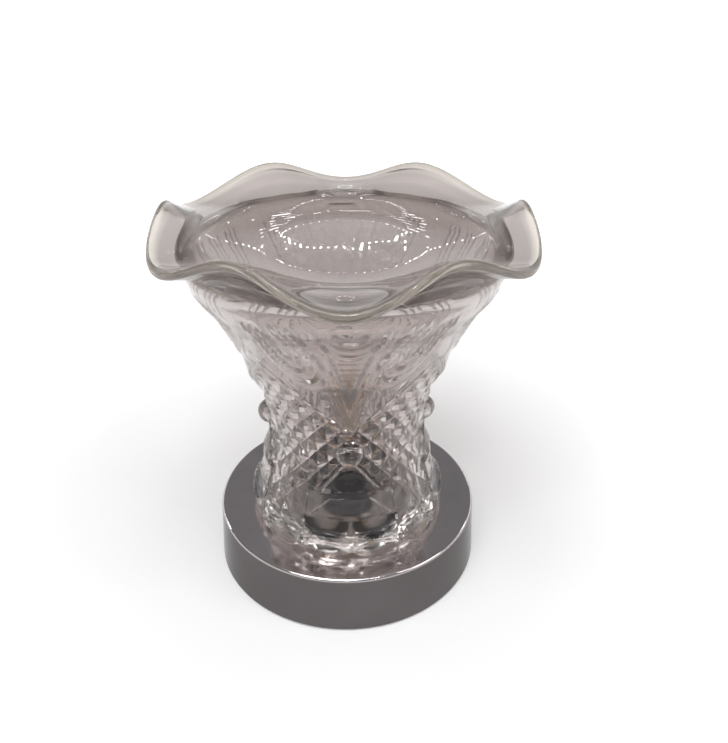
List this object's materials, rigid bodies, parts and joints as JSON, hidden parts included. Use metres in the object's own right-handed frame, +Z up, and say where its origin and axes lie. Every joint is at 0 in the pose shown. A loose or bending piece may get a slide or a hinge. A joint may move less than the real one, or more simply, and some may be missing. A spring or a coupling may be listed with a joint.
{
  "type": "wax melt warmer",
  "caption": "Electric wax melt warmer: chrome round base, pressed clear glass column lit from inside, ruffled clear glass dish on top.",
  "frame": {"origin": "on the table under the middle of the base", "axes": "+Z up, front of the warmer towards -Y, cord entry at +Y"},
  "size_m": [0.121, 0.13, 0.1409],
  "materials": {
    "pressed_glass": "clear pressed glass, faint warm grey, fire polished",
    "dish_glass": "clear glass, fire polished, olive in the thick rim",
    "chrome_plate": "dark chrome plate, faint polishing haze",
    "holder_plate": "black nickel plate",
    "bulb_glass": "clear quartz capsule",
    "tungsten": "drawn wire",
    "holder_ceramic": "dark ceramic",
    "brass_fittings": "plain brass",
    "zinc_steel": "zinc plated",
    "black_moulding": "fine texture moulding",
    "white_moulding": "natural nylon",
    "black_rubber": "matt rubber",
    "board_laminate": "green lacquered laminate",
    "black_component": "moulded epoxy",
    "film_box": "moulded box",
    "can_sleeve": "shrunk sleeve",
    "resistor_body": "lacquered film resistor",
    "white_lead": "insulated lead",
    "brown_lead": "insulated lead"
  },
  "bodies": {
    "base": {"base_shell": "chrome_plate", "base_plate": "black_moulding", "plate_pillars": "zinc_steel", "plate_screws": "zinc_steel", "rubber_feet": "black_rubber", "cord_grommet": "black_rubber", "cord_clamp": "black_moulding", "clamp_screws": "zinc_steel", "terminal_block": "white_moulding", "terminal_screws": "brass_fittings", "lampholder_cup": "holder_plate", "lampholder_stem": "brass_fittings", "lampholder_body": "holder_ceramic", "lampholder_contacts": "brass_fittings", "lampholder_screws": "zinc_steel", "sensor_lug": "brass_fittings", "stem_washer": "zinc_steel", "stem_nut": "brass_fittings", "control_board": "board_laminate", "board_screws": "zinc_steel", "control_chip": "black_component", "triac": "black_component", "film_capacitor": "film_box", "can_capacitor": "can_sleeve", "resistors": "resistor_body", "sensor_lead": "white_lead", "lamp_leads": "white_lead", "mains_leads": "brown_lead"},
    "bulb": {"bulb_capsule": "bulb_glass", "bulb_filament": "tungsten", "bulb_pins": "tungsten"},
    "shade": {"glass_shade": "pressed_glass"},
    "dish": {"glass_dish": "dish_glass"}
  },
  "joints": [
    {"name": "shade_lift", "type": "slide", "parent": "base", "child": "shade", "axis": [0, 0, 1], "range_m": [0, 0.07]},
    {"name": "dish_lift", "type": "slide", "parent": "shade", "child": "dish", "axis": [0, 0, 1], "range_m": [0, 0.05]},
    {"name": "bulb_pull", "type": "slide", "parent": "base", "child": "bulb", "axis": [0, 0, 1], "range_m": [0, 0.012]}
  ]
}
